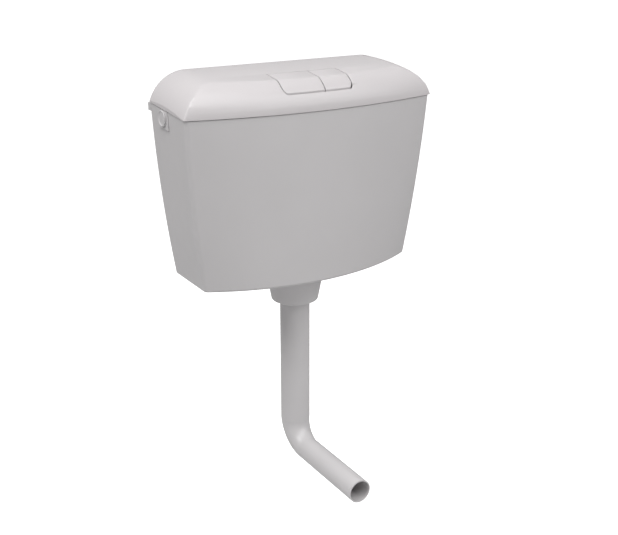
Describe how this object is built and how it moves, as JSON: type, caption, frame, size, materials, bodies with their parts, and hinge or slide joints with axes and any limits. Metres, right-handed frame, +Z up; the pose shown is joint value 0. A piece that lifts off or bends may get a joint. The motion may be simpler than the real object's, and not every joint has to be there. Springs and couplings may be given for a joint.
{
  "type": "toilet cistern",
  "caption": "Low-level plastic toilet cistern with dual flush keys in a domed lid, side inlet, flush valve, float valve and bent flush pipe.",
  "frame": {"origin": "on the wall plane behind the wall rail, midway between the two wall screw holes", "axes": "+Z up, +Y into the wall, -Y towards the front where the keys are, +X to the right seen from the front (the inlet side)"},
  "size_m": [0.4724, 0.2714, 0.6808],
  "materials": {
    "lid_plastic": "glossy moulded polystyrene",
    "key_plastic": "glossy moulded polystyrene",
    "tank_plastic": "satin moulded polystyrene",
    "rail_plastic": "satin moulded plastic",
    "pipe_plastic": "satin extruded plastic",
    "collar_plastic": "satin moulded plastic",
    "valve_plastic": "natural moulded plastic",
    "grey_plastic": "grey moulded acetal",
    "float_plastic": "moulded polypropylene",
    "seal_rubber": "soft rubber",
    "spring_steel": "bright stainless wire",
    "screw_steel": "plated steel",
    "tail_brass": "turned brass"
  },
  "bodies": {
    "cistern": {"tank": "tank_plastic", "wall_rail": "rail_plastic", "wall_buffers": "seal_rubber", "inlet_plug": "tank_plastic", "inlet_plug_seal": "seal_rubber", "inlet_plug_nut": "valve_plastic", "valve_seat": "valve_plastic", "outlet_seal": "seal_rubber", "outlet_back_nut": "valve_plastic", "outlet_collar": "collar_plastic", "pipe_seal": "seal_rubber", "flush_pipe": "pipe_plastic", "valve_basket": "valve_plastic", "valve_bridge": "valve_plastic", "rocker_axle": "screw_steel", "fill_valve_body": "tail_brass", "fill_seal": "seal_rubber", "fill_back_nut": "valve_plastic", "diaphragm": "seal_rubber", "diaphragm_cap": "valve_plastic", "float_arm_pin": "screw_steel", "fill_tube": "valve_plastic"},
    "lid": {"lid": "lid_plastic", "key_carrier": "valve_plastic", "key_hinge_pin": "screw_steel", "carrier_screws": "screw_steel", "lid_screw": "screw_steel", "full_key_spring": "spring_steel", "half_key_spring": "spring_steel"},
    "full_key": {"full_flush_key": "key_plastic"},
    "half_key": {"half_flush_key": "key_plastic"},
    "full_rocker": {"full_rocker": "grey_plastic"},
    "half_rocker": {"half_rocker": "grey_plastic"},
    "valve_tube": {"overflow_tube": "valve_plastic", "valve_seal": "seal_rubber", "seal_retainer": "grey_plastic", "full_lift_rod": "grey_plastic"},
    "half_float": {"half_flush_float": "float_plastic", "half_lift_rod": "grey_plastic"},
    "float_arm": {"float_arm": "valve_plastic", "float_screw": "grey_plastic", "float_cup": "float_plastic"}
  },
  "joints": [
    {"name": "lid_lift", "type": "slide", "parent": "cistern", "child": "lid", "axis": [0, 0, 1], "range_m": [0, 0.12]},
    {"name": "full_key_press", "type": "hinge", "parent": "lid", "child": "full_key", "pos_m": [0, -0.099, 0.035], "axis": [1, 0, 0], "range_deg": [0, 7.5], "stiffness_Nm_per_rad": 2, "springref_deg": -5.73, "deforming": ["full_key_spring"]},
    {"name": "half_key_press", "type": "hinge", "parent": "lid", "child": "half_key", "pos_m": [0, -0.099, 0.035], "axis": [1, 0, 0], "range_deg": [0, 7.5], "stiffness_Nm_per_rad": 2, "springref_deg": -5.73, "deforming": ["half_key_spring"]},
    {"name": "full_rocker_tilt", "type": "hinge", "parent": "cistern", "child": "full_rocker", "pos_m": [0, -0.114, -0.008], "axis": [1, 0, 0], "range_deg": [0, 18.05]},
    {"name": "half_rocker_tilt", "type": "hinge", "parent": "cistern", "child": "half_rocker", "pos_m": [0, -0.114, -0.008], "axis": [1, 0, 0], "range_deg": [0, 18.05]},
    {"name": "valve_lift", "type": "slide", "parent": "cistern", "child": "valve_tube", "axis": [0, 0, 1], "range_m": [0, 0.016]},
    {"name": "half_float_lift", "type": "slide", "parent": "cistern", "child": "half_float", "axis": [0, 0, 1], "range_m": [0, 0.016]},
    {"name": "float_swing", "type": "hinge", "parent": "cistern", "child": "float_arm", "pos_m": [0.152, -0.056, 0.008], "axis": [0, 1, 0], "range_deg": [0, 12]}
  ],
  "couplings": [
    {"joint": "full_rocker_tilt", "follows": "full_key_press", "ratio": 2.4},
    {"joint": "valve_lift", "follows": "full_key_press", "m_per_rad": 0.1215},
    {"joint": "half_rocker_tilt", "follows": "half_key_press", "ratio": 2.4},
    {"joint": "half_float_lift", "follows": "half_key_press", "m_per_rad": 0.1215}
  ]
}
